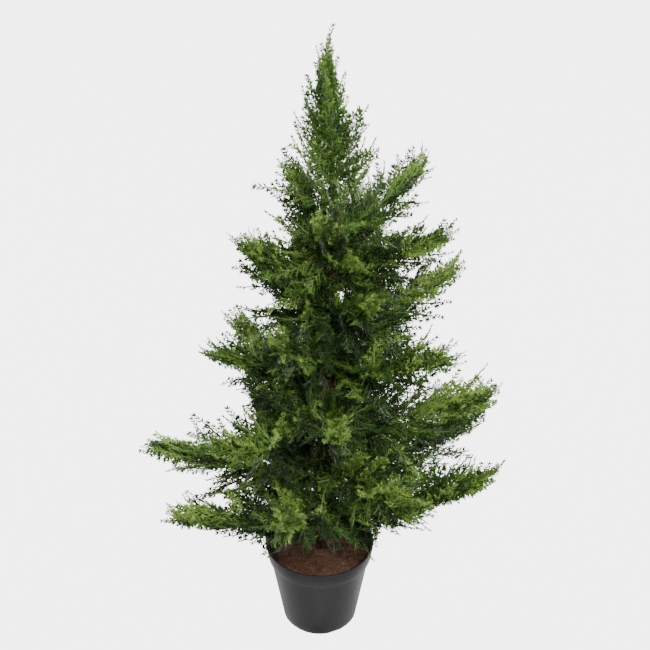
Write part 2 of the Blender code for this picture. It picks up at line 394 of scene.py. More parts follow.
class Graph:
    """Adds and joins nodes in one shader tree."""

    def __init__(self, tree: Tree) -> None:
        """Starts on a tree that may already hold nodes."""
        self.tree = tree

    def add(self, kind: str, inputs: dict | None = None, **settings: object) -> Node:
        """Adds a node.

        Args:
            kind: The node's type, without its ShaderNode prefix.
            inputs: Socket name or index to a value or to an output socket.
            settings: The node's own properties.

        Returns:
            The node.
        """
        made = self.tree.nodes.new(f"ShaderNode{kind}")
        for key, value in settings.items():
            setattr(made, key, value)
        for key, value in (inputs or {}).items():
            if isinstance(value, Socket):
                self.tree.links.new(value, made.inputs[key])
            else:
                made.inputs[key].default_value = value
        return made

    def link(self, source: Socket, target: Socket) -> None:
        """Joins an output to an input."""
        self.tree.links.new(source, target)

    def feed(self, colour: object, target: Socket) -> None:
        """Gives an input its colour.

        Args:
            colour: A linear colour or another node's output.
            target: The input.
        """
        if isinstance(colour, Socket):
            self.link(colour, target)
        else:
            target.default_value = (*colour, 1.0)

    def noise(
        self, scale: object, detail: float, roughness: float = 0.5, stretch: object = None
    ) -> Socket:
        """Noise in the piece's own space.

        Args:
            scale: Its frequency per metre, as a value or an output.
            detail: Its octaves.
            roughness: How strong the finer octaves are.
            stretch: Its frequency's factor along each axis, as a tuple or an output.

        Returns:
            The noise's value output.
        """
        where = self.add("TexCoord").outputs["Object"]
        if stretch is not None:
            scaled = self.add("VectorMath", {0: where, 1: stretch}, operation="MULTIPLY")
            where = scaled.outputs["Vector"]
        values = {"Vector": where, "Scale": scale, "Detail": detail, "Roughness": roughness}
        return self.add("TexNoise", values).outputs["Fac"]

    def step(self, value: Socket, low: float, high: float) -> Socket:
        """A mask that rises from 0 to 1 as a value runs from low to high."""
        return self.ramp(value, ((low, BLACK), (high, WHITE)))

    def ramp(self, value: Socket, stops: tuple) -> Socket:
        """A colour ramp over a value.

        Args:
            value: The output that runs from 0 to 1.
            stops: Place and linear colour of each stop.

        Returns:
            The ramp's colour output.
        """
        made = self.add("ValToRGB", {"Fac": value})
        elements = made.color_ramp.elements
        while len(elements) < len(stops):
            elements.new(0.5)
        for element, (place, colour) in zip(elements, stops):
            element.position = place
            element.color = (*colour, 1.0)
        return made.outputs["Color"]

    def mixed(self, share: Socket, first: object, second: object) -> Socket:
        """A mix of two colours.

        Args:
            share: How much of the second.
            first: The first colour or output.
            second: The second colour or output.

        Returns:
            The mixed colour's output.
        """
        made = self.add("Mix", {0: share}, data_type="RGBA")
        self.feed(first, made.inputs[6])
        self.feed(second, made.inputs[7])
        return made.outputs[2]

    def maths(self, operation: str, *values: object) -> Socket:
        """A Math node.

        Args:
            operation: Blender's name of what it does.
            values: Its inputs in order, each a value or an output.

        Returns:
            The node's output.
        """
        made = self.add("Math", operation=operation)
        for socket, value in zip(made.inputs, values):
            if isinstance(value, Socket):
                self.link(value, socket)
            else:
                socket.default_value = value
        return made.outputs[0]

    def spread(self, value: Socket, low: float, high: float) -> Socket:
        """Maps a value from 0 to 1 onto low to high."""
        made = self.add("MapRange", {"Value": value, "To Min": low, "To Max": high})
        return made.outputs["Result"]


def new_material(name: str) -> tuple[Material, Graph, Node]:
    """A node material.

    Args:
        name: The material's name.

    Returns:
        The material, its graph and its Principled shader.
    """
    made = bpy.data.materials.new(name)
    made.use_nodes = True
    return made, Graph(made.node_tree), made.node_tree.nodes["Principled BSDF"]


def group_with(name: str, inputs: dict, outputs: dict) -> tuple[Tree, Graph, Node, Node]:
    """A shader node group with named sockets.

    Args:
        name: The group's name.
        inputs: Socket type of each input, by name.
        outputs: Socket type of each output, by name.

    Returns:
        The group tree, its graph, its input node and its output node.
    """
    tree = bpy.data.node_groups.new(name, "ShaderNodeTree")
    for way, sockets in (("INPUT", inputs), ("OUTPUT", outputs)):
        for label, kind in sockets.items():
            tree.interface.new_socket(label, in_out=way, socket_type=f"NodeSocket{kind}")
    start = tree.nodes.new("NodeGroupInput")
    end = tree.nodes.new("NodeGroupOutput")
    return tree, Graph(tree), start, end


def colour_drift_group() -> Tree:
    """Soft patches of lighter and darker colour, in the piece's own space."""
    inputs = {"Colour": "Color", "Scale": "Float", "Amount": "Float"}
    outputs = {"Colour": "Color", "Mask": "Float"}
    tree, graph, start, end = group_with("ColourDrift", inputs, outputs)
    noise = graph.noise(start.outputs["Scale"], 3.0)
    swing = graph.maths("SUBTRACT", noise, 0.5)
    swing = graph.maths("MULTIPLY", swing, start.outputs["Amount"])
    swing = graph.maths("MULTIPLY_ADD", swing, 2.0, 1.0)
    shade = graph.add("HueSaturation", {"Color": start.outputs["Colour"], "Value": swing})
    graph.link(shade.outputs["Color"], end.inputs["Colour"])
    graph.link(noise, end.inputs["Mask"])
    return tree


def fine_grain_group() -> Tree:
    """Fine moulded grain as a height, with its own stretch along each axis."""
    inputs = {"Scale": "Float", "Stretch": "Vector"}
    tree, graph, start, end = group_with("FineGrain", inputs, {"Height": "Float"})
    noise = graph.noise(start.outputs["Scale"], 4.0, 0.6, start.outputs["Stretch"])
    graph.link(noise, end.inputs["Height"])
    return tree


@dataclass
class SharedEffects:
    """The shader groups that several finishes use."""

    drift: Tree = field(default_factory=colour_drift_group)
    grain: Tree = field(default_factory=fine_grain_group)
    bump_strength: float = 0.6

    def drifted(self, graph: Graph, colour: object, scale: float, amount: float) -> Node:
        """Places the colour drift.

        Args:
            graph: The material's graph.
            colour: A linear colour or an output.
            scale: The patches' scale.
            amount: How far the value swings.

        Returns:
            The group node.
        """
        node = graph.add("Group", node_tree=self.drift)
        graph.feed(colour, node.inputs["Colour"])
        node.inputs["Scale"].default_value = scale
        node.inputs["Amount"].default_value = amount
        return node

    def bumped(
        self, graph: Graph, shader: Node, scale: float, stretch: tuple, depth: float
    ) -> None:
        """Places the grain and feeds it to the shader as a bump.

        Args:
            graph: The material's graph.
            shader: The Principled shader.
            scale: The grain's scale.
            stretch: The grain's frequency along each axis.
            depth: The bump's distance in metres.
        """
        node = graph.add("Group", node_tree=self.grain)
        node.inputs["Scale"].default_value = scale
        node.inputs["Stretch"].default_value = stretch
        height = node.outputs["Height"]
        values = {"Height": height, "Distance": depth, "Strength": self.bump_strength}
        graph.link(graph.add("Bump", values).outputs["Normal"], shader.inputs["Normal"])


# ---------------------------------------------------------------- finishes


@dataclass(frozen=True)
class Finish:
    """What the finishes share: a colour that drifts, a roughness range and a fine grain."""

    name: str = "plain"
    colour: tuple = (0.5, 0.5, 0.5)
    drift: tuple = (40.0, 0.35)
    roughness: tuple = (0.4, 0.6)
    grain: tuple | None = None
    specular: float = 0.5
    metallic: float = 0.0

    def paint(self, graph: Graph) -> tuple[object, Socket | None]:
        """The colour before it drifts, and what the roughness follows in place of the drift."""
        return self.colour, None

    def wear(self, graph: Graph, colour: Socket) -> object:
        """What lies over the drifted colour."""
        return colour

    def build(self, effects: SharedEffects) -> Material:
        """The finish as a material.

        Args:
            effects: The shared shader groups.

        Returns:
            The material.
        """
        made, graph, shader = new_material(self.name)
        colour, guide = self.paint(graph)
        drift = effects.drifted(graph, colour, *self.drift)
        graph.link(self.wear(graph, drift.outputs["Colour"]), shader.inputs["Base Color"])
        guide = drift.outputs["Mask"] if guide is None else guide
        graph.link(graph.spread(guide, *self.roughness), shader.inputs["Roughness"])
        shader.inputs["Specular IOR Level"].default_value = self.specular
        shader.inputs["Metallic"].default_value = self.metallic
        if self.grain:
            effects.bumped(graph, shader, *self.grain)
        return made


@dataclass(frozen=True)
class PotPlastic(Finish):
    """Dark grey injection-moulded polypropylene with a satin face and faint scuffs."""

    name: str = "pot_plastic"
    colour: tuple = (0.0068, 0.0068, 0.0072)
    drift: tuple = (28.0, 0.25)
    roughness: tuple = (0.27, 0.40)
    grain: tuple = (1400.0, EVEN, 0.00004)
    specular: float = 0.32
    scuffed: tuple = (0.026, 0.026, 0.0255)
    scuff_scale: float = 55.0
    scuff_range: tuple = (0.62, 0.80)

    def wear(self, graph: Graph, colour: Socket) -> Socket:
        """Scuffs in small patches."""
        scuff = graph.noise(self.scuff_scale, 6.0, 0.7)
        return graph.mixed(graph.step(scuff, *self.scuff_range), colour, self.scuffed)


@dataclass(frozen=True)
class CoirFibre(Finish):
    """Dry coconut fibre, reddish brown with darker and straw-coloured strands."""

    name: str = "coir_fibre"
    drift: tuple = (60.0, 0.5)
    roughness: tuple = (0.75, 1.0)
    grain: tuple = (1500.0, EVEN, 0.0003)
    strand_scale: float = 320.0
    browns: tuple = (
        (0.30, (0.018, 0.0075, 0.0035)),
        (0.52, (0.085, 0.034, 0.013)),
        (0.78, (0.24, 0.125, 0.055)),
    )

    def paint(self, graph: Graph) -> tuple[Socket, Socket]:
        """Strands of three browns, the palest ones the roughest."""
        strands = graph.noise(self.strand_scale, 5.0, 0.75)
        return graph.ramp(strands, self.browns), strands


@dataclass(frozen=True)
class BarkPlastic(Finish):
    """Moulded bark, red-brown on its ridges and nearly black in its furrows."""

    name: str = "bark_plastic"
    drift: tuple = (35.0, 0.45)
    roughness: tuple = (0.9, 0.6)
    grain: tuple = (700.0, (1.0, 1.0, 0.2), 0.0006)
    furrow_scale: float = 420.0
    furrow_stretch: tuple = (1.0, 1.0, 0.16)
    browns: tuple = (
        (0.34, (0.016, 0.007, 0.004)),
        (0.56, (0.085, 0.036, 0.018)),
        (0.80, (0.16, 0.080, 0.036)),
    )

    def paint(self, graph: Graph) -> tuple[Socket, Socket]:
        """Furrow and ridge browns along the trunk, the ridges the smoothest."""
        furrows = graph.noise(self.furrow_scale, 5.0, stretch=self.furrow_stretch)
        return graph.ramp(furrows, self.browns), furrows


@dataclass(frozen=True)
class CedarPlastic(Finish):
    """Soft moulded foliage: each spray has its own green, partly its own tone and partly painted
    shade (inside and beneath the boughs) and painted light (outside and above); leaflet tips run
    paler as a painted highlight, and stems are a paler green of their own.
    """

    name: str = "cedar_plastic"
    drift: tuple = (45.0, 0.35)
    roughness: tuple = (0.40, 0.62)
    specular: float = 0.38
    # The darker greens also serve as painted shade, the paler ones as painted light and painted
    # highlight.
    greens: tuple = (
        (0.00, (0.0030, 0.0090, 0.0030)),
        (0.25, (0.0080, 0.0280, 0.0060)),
        (0.50, (0.0215, 0.0690, 0.0085)),
        (0.75, (0.0850, 0.1800, 0.0200)),
        (1.00, (0.2600, 0.4000, 0.0760)),
    )
    row_swing: float = 0.24
    # Painted highlight: how much paler each leaflet grows towards its tip.
    tip_highlight_gain: float = 0.34
    stem: tuple = (0.30, 0.42, 0.11)
    stem_shares: tuple = (0.15, 0.85)

    def paint(self, graph: Graph) -> tuple[Socket, None]:
        """The green of each leaflet and stem, from its leaf data.

        Args:
            graph: The material's graph.

        Returns:
            The green, and None for a roughness that follows the drift.
        """
        data = graph.add("Attribute", attribute_name=LEAF_DATA)
        parts = graph.add("SeparateColor", {"Color": data.outputs["Color"]}).outputs
        swing = self.row_swing
        row = graph.maths("MULTIPLY_ADD", data.outputs["Alpha"], swing, -swing / 2)
        # The spray's place on the ramp, partly painted shade and painted light, with a random swing
        # for each twig.
        tint = graph.maths("ADD", parts["Red"], row)
        # Painted highlight: leaflets grow paler towards their own tips and their twig's tip.
        tip = graph.maths("MULTIPLY", parts["Green"], self.tip_highlight_gain)
        green = graph.ramp(graph.maths("ADD", tint, tip), self.greens)
        stem = graph.maths("MULTIPLY", parts["Blue"], graph.spread(tint, *self.stem_shares))
        return graph.mixed(stem, green, self.stem), None


@dataclass(frozen=True)
class WirePlastic(Finish):
    """The boughs' plastic-coated wire, dull grey-green with patches of brown tape."""

    name: str = "wire_plastic"
    colour: tuple = (0.060, 0.032, 0.016)
    drift: tuple = (120.0, 0.3)
    roughness: tuple = (0.5, 0.75)
    grain: tuple = (1100.0, EVEN, 0.0002)
    green: tuple = (0.075, 0.105, 0.040)
    patch_scale: float = 30.0
    patch_range: tuple = (0.42, 0.62)

    def paint(self, graph: Graph) -> tuple[Socket, None]:
        """Brown tape that shows between patches of green coating."""
        patches = graph.step(graph.noise(self.patch_scale, 4.0), *self.patch_range)
        return graph.mixed(patches, self.colour, self.green), None


@dataclass(frozen=True)
class RodSteel(Finish):
    """Drawn steel rod with faint lengthwise lines."""

    name: str = "rod_steel"
    colour: tuple = (0.50, 0.50, 0.51)
    drift: tuple = (60.0, 0.15)
    roughness: tuple = (0.25, 0.45)
    grain: tuple = (900.0, (1.0, 1.0, 0.03), 0.00003)
    metallic: float = 1.0


@dataclass(frozen=True)
class CastCement(Finish):
    """Grey cement with pores and pale patches."""

    name: str = "cast_cement"
    colour: tuple = (0.36, 0.35, 0.33)
    roughness: tuple = (0.8, 0.95)
    grain: tuple = (500.0, EVEN, 0.0004)


# ---------------------------------------------------------------- pot


@dataclass
class NurseryPot:
    """The moulded pot: foot, tapered wall, step and rim band, with drain arches in the foot."""

    finish: Material
    rim_band_height: float = 0.0235
    rim_band_taper: float = 0.0035
    rim_step: float = 0.003
    wall: float = 0.0018
    floor: float = 0.0025
    wall_foot_radius: float = 0.051
    foot_height: float = 0.006
    foot_taper: float = 0.0045
    lip: float = 0.0007
    edge_bevel: float = 0.0004
    drain_width: float = 0.015
    drain_height: float = 0.0045
    drain_depth: float = 0.009
    drain_azimuths: tuple = (-65.0, 25.0, 115.0, 205.0)
    wall_rings: int = 14
    sides: int = 128

    def __post_init__(self) -> None:
        """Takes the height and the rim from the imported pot."""
        low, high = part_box("nursery_pot")
        self.height = high.z
        self.rim_radius = (high.x - low.x) / 2

    def inner_radius(self, height: float) -> float:
        """The pot's inner radius.

        Args:
            height: The height above the underside, within the wall or the rim band.

        Returns:
            The radius there.
        """
        band_foot = self.height - self.rim_band_height
        if height >= band_foot:
            share = (self.height - height) / self.rim_band_height
            return self.rim_radius - self.wall - share * (self.rim_band_taper + self.rim_step)
        share = (height - self.foot_height) / (band_foot - self.foot_height)
        top = self.rim_radius - self.rim_band_taper - self.rim_step
        return blend_value(self.wall_foot_radius, top, share) - self.wall

    def outline(self) -> list[tuple[float, float]]:
        """Radius and height along the pot's section, from its underside to its inner floor."""
        band_foot = self.height - self.rim_band_height
        band_radius = self.rim_radius - self.rim_band_taper
        wall_top = band_radius - self.rim_step
        step_foot = band_foot - self.rim_step / 3
        foot_radius = self.wall_foot_radius - self.foot_taper
        rings = [(foot_radius, 0.0), (self.wall_foot_radius, self.foot_height)]
        for i in range(1, self.wall_rings + 1):
            share = i / self.wall_rings
            radius = blend_value(self.wall_foot_radius, wall_top, share)
            rings.append((radius, blend_value(self.foot_height, step_foot, share)))
        rings += [
            (band_radius - self.lip, band_foot),
            (band_radius, band_foot + self.lip),
            (self.rim_radius, self.height - self.lip),
            (self.rim_radius - self.lip / 3, self.height),
            (self.rim_radius - self.wall, self.height - self.lip / 2),
        ]
        rings += [(self.inner_radius(height), height) for height in (band_foot, self.foot_height)]
        return [*rings, (foot_radius, self.floor)]

    def drain_cutter(self, azimuth: float) -> Piece:
        """An oval rod that leaves an arch in the foot.

        Args:
            azimuth: Where it goes round the pot, in degrees.

        Returns:
            The cutter.
        """
        bpy.ops.object.select_all(action="DESELECT")
        bpy.ops.mesh.primitive_cylinder_add(vertices=32, radius=1.0, depth=2 * self.drain_depth)
        cutter = laid_along_x(active())
        squash = Matrix.Diagonal((1.0, self.drain_width / 2, self.drain_height, 1.0))
        move = Matrix.Translation((self.wall_foot_radius - self.foot_taper, 0.0, 0.0))
        place_mesh(cutter, turned(azimuth, "Z") @ move @ squash)
        return cutter

    def build(self) -> Piece:
        """Turns the pot, cuts its drain arches and rounds its edges."""
        pot = revolved("pot_shell", self.outline(), self.sides)
        cutter = joined("drain_cutter", [self.drain_cutter(a) for a in self.drain_azimuths])
        apply_modifier(pot, "BOOLEAN", operation="DIFFERENCE", object=cutter, solver="EXACT")
        discard([cutter])
        apply_modifier(
            pot, "BEVEL", width=self.edge_bevel, segments=2, limit_method="ANGLE", angle_limit=0.5
        )
        smooth(pot)
        painted(pot, self.finish)
        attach(pot, "pot_and_trunk")
        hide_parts("nursery_pot")
        return pot


# ---------------------------------------------------------------- coir


@dataclass
class CoirPacking:
    """The coir in the pot's mouth: a lumpy crowned bed with loose curled fibres on it."""

    finish: Material
    pot: NurseryPot
    wall_gap: float = 0.0008
    edge_drop: float = 0.003
    lump_height: float = 0.0022
    lump_size: float = 0.005
    fibre_count: int = 1500
    fibre_length: float = 0.017
    fibre_radii: tuple = (0.00026, 0.00012)
    fibre_curls: tuple = (35.0, 80.0, 130.0)
    fibre_scales: tuple = (0.5, 1.25)
    fibre_lifts: tuple = (0.2, 1.3)
    fibre_tilts: tuple = (0.16, 0.6)
    crown_rings: int = 30
    sides: int = 128
    seed: int = 11

    def __post_init__(self) -> None:
        """Takes the bed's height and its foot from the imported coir."""
        low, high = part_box("coir_fill")
        self.foot = low.z
        self.crown = high.z
        self.edge = self.crown - 2 * self.edge_drop
        self.edge_radius = self.pot.inner_radius(self.edge) - self.wall_gap

    def surface(self, radius: float) -> float:
        """The bed's height at a radius, before its lumps."""
        fall = (radius / self.edge_radius) ** 2
        return blend_value(self.crown, self.edge, fall) - self.lump_height

    def bed(self, trunk: Piece) -> Piece:
        """The bed, with room for the trunk.

        Args:
            trunk: A cutter in the trunk's place.

        Returns:
            The bed.
        """
        rings = [(self.pot.inner_radius(self.foot) - self.wall_gap, self.foot)]
        band = self.pot.height - self.pot.rim_band_height
        rings.append((self.pot.inner_radius(band) - 2 * self.wall_gap, band))
        for i in range(self.crown_rings):
            radius = self.edge_radius * (1.0 - i / self.crown_rings)
            rings.append((radius, self.surface(radius)))
        made = revolved("coir_bed", rings, self.sides)
        lumps = bpy.data.textures.new("coir_lumps", "CLOUDS")
        lumps.noise_scale = self.lump_size
        lumps.noise_depth = 3
        crown = made.vertex_groups.new(name="crown")
        inside = self.edge_radius - self.wall_gap
        top = [v.index for v in made.data.vertices if v.co.xy.length < inside and v.co.z > band]
        crown.add(top, 1.0, "REPLACE")
        apply_modifier(
            made,
            "DISPLACE",
            texture=lumps,
            texture_coords="LOCAL",
            direction="Z",
            strength=2 * self.lump_height,
            mid_level=0.35,
            vertex_group="crown",
        )
        made.vertex_groups.clear()
        apply_modifier(made, "BOOLEAN", operation="DIFFERENCE", object=trunk, solver="EXACT")
        return made

    def fibre(self, curl: float) -> Piece:
        """One curled fibre, modelled once for each curl.

        Args:
            curl: How far it bends over its length, in degrees.

        Returns:
            The fibre, along X.
        """
        made = stalk("fibre", self.fibre_length, self.fibre_radii, 5, 3)
        bend(made, curl, upwards=False)
        return made

    def scatter(self, trunk_radius: float) -> list[Piece]:
        """Loose fibres on the bed, none of them through the pot's wall.

        Args:
            trunk_radius: The room that the trunk takes at the middle.

        Returns:
            The fibres.
        """
        rng = random.Random(self.seed)
        masters = [self.fibre(curl) for curl in self.fibre_curls]
        fibres = []
        while len(fibres) < self.fibre_count:
            radius = math.sqrt(rng.uniform(trunk_radius**2, self.edge_radius**2))
            azimuth = rng.uniform(0.0, math.tau)
            yaw = rng.uniform(0.0, math.tau)
            scale = rng.uniform(*self.fibre_scales)
            middle = Vector((radius * math.cos(azimuth), radius * math.sin(azimuth), 0.0))
            reach = scale * self.fibre_length
            end = middle + reach * Vector((math.cos(yaw), math.sin(yaw), 0.0))
            if end.length + 0.3 * reach > self.edge_radius or end.length < trunk_radius:
                continue
            middle.z = self.surface(radius) + rng.uniform(*self.fibre_lifts) * self.lump_height
            place = Matrix.Translation(middle) @ Matrix.Rotation(yaw, 4, "Z")
            for axis, tilt in zip("YX", self.fibre_tilts):
                place = place @ Matrix.Rotation(rng.gauss(0.0, tilt), 4, axis)
            fibres.append(copied(rng.choice(masters), place @ Matrix.Scale(scale, 4)))
        discard(masters)
        return fibres

    def build(self, trunk: Piece, trunk_radius: float) -> Piece:
        """Builds the bed and its fibres as one piece.

        Args:
            trunk: A cutter in the trunk's place, which is used up.
            trunk_radius: The trunk's radius there.

        Returns:
            The packing.
        """
        bed = self.bed(trunk)
        discard([trunk])
        made = joined("coir_packing", [bed, *self.scatter(trunk_radius)])
        smooth(made, 50.0)
        painted(made, self.finish)
        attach(made, "pot_and_trunk")
        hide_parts("coir_fill")
        return made


# ---------------------------------------------------------------- trunk


@dataclass
class BarkTrunk:
    """The furrowed bark cover, with a socket for each wire's round root."""

    finish: Material
    roots: list[Vector]
    gap: float = 0.0006
    furrow_depth: float = 0.0016
    furrow_size: float = 0.0035
    furrow_stretch: float = 9.0
    socket_radius: float = 0.0031
    rings: int = 170
    sides: int = 48

    def __post_init__(self) -> None:
        """Takes the foot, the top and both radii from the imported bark."""
        points = np.array([v.co for v in frame["nodes"]["trunk_bark"].data.vertices])
        low = points[points[:, 2] < points[:, 2].min() + 0.001]
        high = points[points[:, 2] > points[:, 2].max() - 0.001]
        self.foot = Vector(low.mean(0))
        self.top = Vector(high.mean(0))
        self.foot_radius = float(np.ptp(low[:, 1])) / 2
        self.top_radius = float(np.ptp(high[:, 1])) / 2

    def stand(self) -> Matrix:
        """From a trunk that stands upright at the origin to its leaning place."""
        axis = (self.top - self.foot).normalized()
        lean = Vector((0.0, 0.0, 1.0)).rotation_difference(axis).to_matrix().to_4x4()
        return Matrix.Translation(self.foot) @ lean

    def clearance(self) -> Piece:
        """A plain cutter in the trunk's place, for the coir."""
        length = (self.top - self.foot).length
        radius = self.foot_radius + self.gap
        made = revolved("trunk_clearance", [(radius, -self.gap), (radius, length / 3)], self.sides)
        place_mesh(made, self.stand())
        return made

    def sockets(self) -> Piece:
        """Balls at the wires' roots, to cut the sockets with."""
        bpy.ops.object.select_all(action="DESELECT")
        bpy.ops.mesh.primitive_uv_sphere_add(segments=16, ring_count=10, radius=self.socket_radius)
        master = active()
        balls = [copied(master, Matrix.Translation(root)) for root in self.roots]
        discard([master])
        return joined("socket_cutter", balls)

    def build(self) -> Piece:
        """Draws out the trunk, presses its furrows in and cuts its sockets."""
        length = (self.top - self.foot).length
        shares = [i / self.rings for i in range(self.rings + 1)]
        radii = (self.foot_radius, self.top_radius)
        outline = [(blend_value(*radii, share), length * share) for share in shares]
        bark = revolved("trunk_cover", outline, self.sides)
        furrows = bpy.data.textures.new("bark_furrows", "CLOUDS")
        furrows.noise_scale = self.furrow_size
        furrows.noise_depth = 2
        furrows.noise_type = "HARD_NOISE"
        guide = bpy.data.objects.new("furrow_guide", None)
        bpy.context.scene.collection.objects.link(guide)
        guide.scale = (1.0, 1.0, self.furrow_stretch)
        bpy.context.view_layer.update()
        apply_modifier(
            bark,
            "DISPLACE",
            texture=furrows,
            texture_coords="OBJECT",
            texture_coords_object=guide,
            strength=-self.furrow_depth,
            mid_level=0.0,
        )
        bpy.data.objects.remove(guide)
        place_mesh(bark, self.stand())
        sockets = self.sockets()
        apply_modifier(bark, "BOOLEAN", operation="DIFFERENCE", object=sockets, solver="EXACT")
        discard([sockets])
        smooth(bark, 45.0)
        painted(bark, self.finish)
        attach(bark, "pot_and_trunk")
        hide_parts("trunk_bark")
        return bark


# ---------------------------------------------------------------- sprays


class Tint(Enum):
    """A spray's green, as its place on the foliage ramp; on the boughs the darker ones serve as
    painted shade and the paler ones as painted light.
    """

    SHADE = 0.06
    DEEP = 0.22
    MID = 0.44
    FRESH = 0.64
    LIME = 0.82


class Form(Enum):
    """The kinds of spray that the mould set has."""

    LONG = "long"
    MEDIUM = "medium"
    SHORT = "short"
    SLIM = "slim"


@dataclass(frozen=True)
class SprayPattern:
    """How one kind of spray is laid out."""

    length: float
    half_width: float
    twigs: int
    root_angle: float
    tip_angle: float
    curls: tuple


@dataclass
class SprayMoulds:
    """Moulds the flat cedar sprays: leaflets on twigs, and twigs on both sides of a rachis."""

    leaflet_length: float = 0.0084
    leaflet_radius: float = 0.00132
    leaflet_shoulder: float = 0.34
    leaflet_plumpness: float = 1.6
    leaflet_angle: float = 34.0
    leaflet_turn_spread: float = 5.0
    leaflet_tilt_spread: float = 13.0
    leaflet_sizes: tuple = (1.05, 0.80)
    leaflet_size_spread: tuple = (0.88, 1.10)
    twig_radius: float = 0.00080
    twig_sizes: tuple = ((0.028, 5), (0.019, 3), (0.012, 2))
    twig_copies: int = 2
    twig_shares: tuple = (0.05, 0.92)
    twig_angle_spread: float = 4.5
    twig_reaches: tuple = (0.80, 1.12)
    twig_roll_spread: float = 30.0
    twig_lift: tuple = (-3.0, 13.0)
    pair_shares: tuple = (0.14, 0.90)
    pair_stagger: float = 0.0007
    stem_end: float = 0.6
    fan_share: float = 0.96
    fan_turns: tuple = (-20.0, 2.0, 24.0)
    rachis_radii: tuple = (0.00125, 0.00080)
    rachis_share: float = 0.90
    end_twig_share: float = 0.12
    side_curl_spread: float = 12.0
    palette_rows: int = 8
    seed: int = 5
    patterns: dict = field(
        default_factory=lambda: {
            Form.LONG: SprayPattern(0.124, 0.0235, 21, 42.0, 26.0, (18.0, -10.0, 26.0)),
            Form.MEDIUM: SprayPattern(0.096, 0.0205, 16, 42.0, 26.0, (16.0, -12.0, 24.0)),
            Form.SHORT: SprayPattern(0.068, 0.0165, 11, 44.0, 28.0, (14.0, -14.0, 22.0)),
            Form.SLIM: SprayPattern(0.092, 0.0120, 18, 30.0, 22.0, (8.0, -8.0)),
        }
    )

    def leaflet(self) -> Piece:
        """A plump leaflet along X, pointed at both ends and widest at its shoulders."""
        shoulder = self.leaflet_shoulder * self.leaflet_length
        bpy.ops.object.select_all(action="DESELECT")
        bpy.ops.mesh.primitive_cone_add(
            vertices=3,
            radius1=self.leaflet_radius,
            radius2=0.0,
            depth=self.leaflet_length - shoulder,
            location=(0.0, 0.0, (self.leaflet_length + shoulder) / 2),
        )
        made = active()
        bpy.ops.object.transform_apply(location=True, rotation=True, scale=True)
        pick(made, lambda place: place.y > self.leaflet_radius / 2)
        bpy.ops.object.mode_set(mode="EDIT")
        bpy.ops.transform.translate(value=(0.0, -self.leaflet_radius, -shoulder))
        bpy.ops.mesh.select_all(action="SELECT")
        plump = (1.0, self.leaflet_plumpness, 1.0)
        bpy.ops.transform.resize(value=plump, center_override=(0.0, 0.0, 0.0))
        bpy.ops.object.mode_set(mode="OBJECT")
        laid_along_x(made)
        place_mesh(made, turned(90.0, "X"))
        start_leaf_data(made, stem=False)
        return made

    def twig(self, leaflet: Piece, length: float, pairs: int, rng: random.Random) -> Piece:
        """A thin stem with leaflets in pairs and three at its tip.

        Args:
            leaflet: The leaflet that is repeated.
            length: The twig's length.
            pairs: Pairs of leaflets.
            rng: Where its small differences come from.

        Returns:
            The twig, along X.
        """
        stem_length = length - self.stem_end * self.leaflet_length
        stem = stalk("twig", stem_length, (self.twig_radius, self.twig_radius / 2), 2, 3)
        start_leaf_data(stem, stem=True)
        parts = [stem]
        for i in range(pairs):
            share = blend_value(*self.pair_shares, i / max(pairs - 1, 1))
            for side in (-1, 1):
                turn = side * (self.leaflet_angle + rng.gauss(0.0, self.leaflet_turn_spread))
                x = stem_length * share + side * self.pair_stagger
                parts.append(self.set_leaflet(leaflet, x, turn, share, rng))
        for turn in self.fan_turns:
            parts.append(self.set_leaflet(leaflet, stem_length * self.fan_share, turn, 1.0, rng))
        return joined("twig", parts)

    def set_leaflet(
        self, leaflet: Piece, x: float, turn: float, share: float, rng: random.Random
    ) -> Piece:
        """A copy of the leaflet on a twig.

        Args:
            leaflet: The leaflet that is repeated.
            x: Where it stands along the twig.
            turn: Its angle from the twig, in degrees.
            share: Its place from the twig's root to its tip.
            rng: Where its small differences come from.

        Returns:
            The copy.
        """
        tilt = turned(rng.gauss(0.0, self.leaflet_tilt_spread), "Y")
        size = blend_value(*self.leaflet_sizes, share) * rng.uniform(*self.leaflet_size_spread)
        place = Matrix.Translation((x, 0.0, 0.0)) @ turned(turn, "Z") @ tilt
        made = copied(leaflet, place @ Matrix.Scale(size, 4))
        # Painted highlight: leaflets nearer the twig's tip start paler.
        edit_leaf_data(made, Channel.TIP, 0.5, 0.5 * share)
        return made

    def envelope(self, share: float) -> float:
        """How far the twigs reach at a share of the rachis, from 0 to 1."""
        return min(1.0, 0.5 + 2.0 * share) * max(0.24, (1.0 - share) ** 0.6)

    def set_row(self, piece: Piece, row: int) -> None:
        """Moves a twig's or rachis's palette map into its row, the rachis's being the last."""
        rows = self.palette_rows + 1
        edit_palette_map(piece, (1.0, 1.0 / rows), (0.0, row / rows))

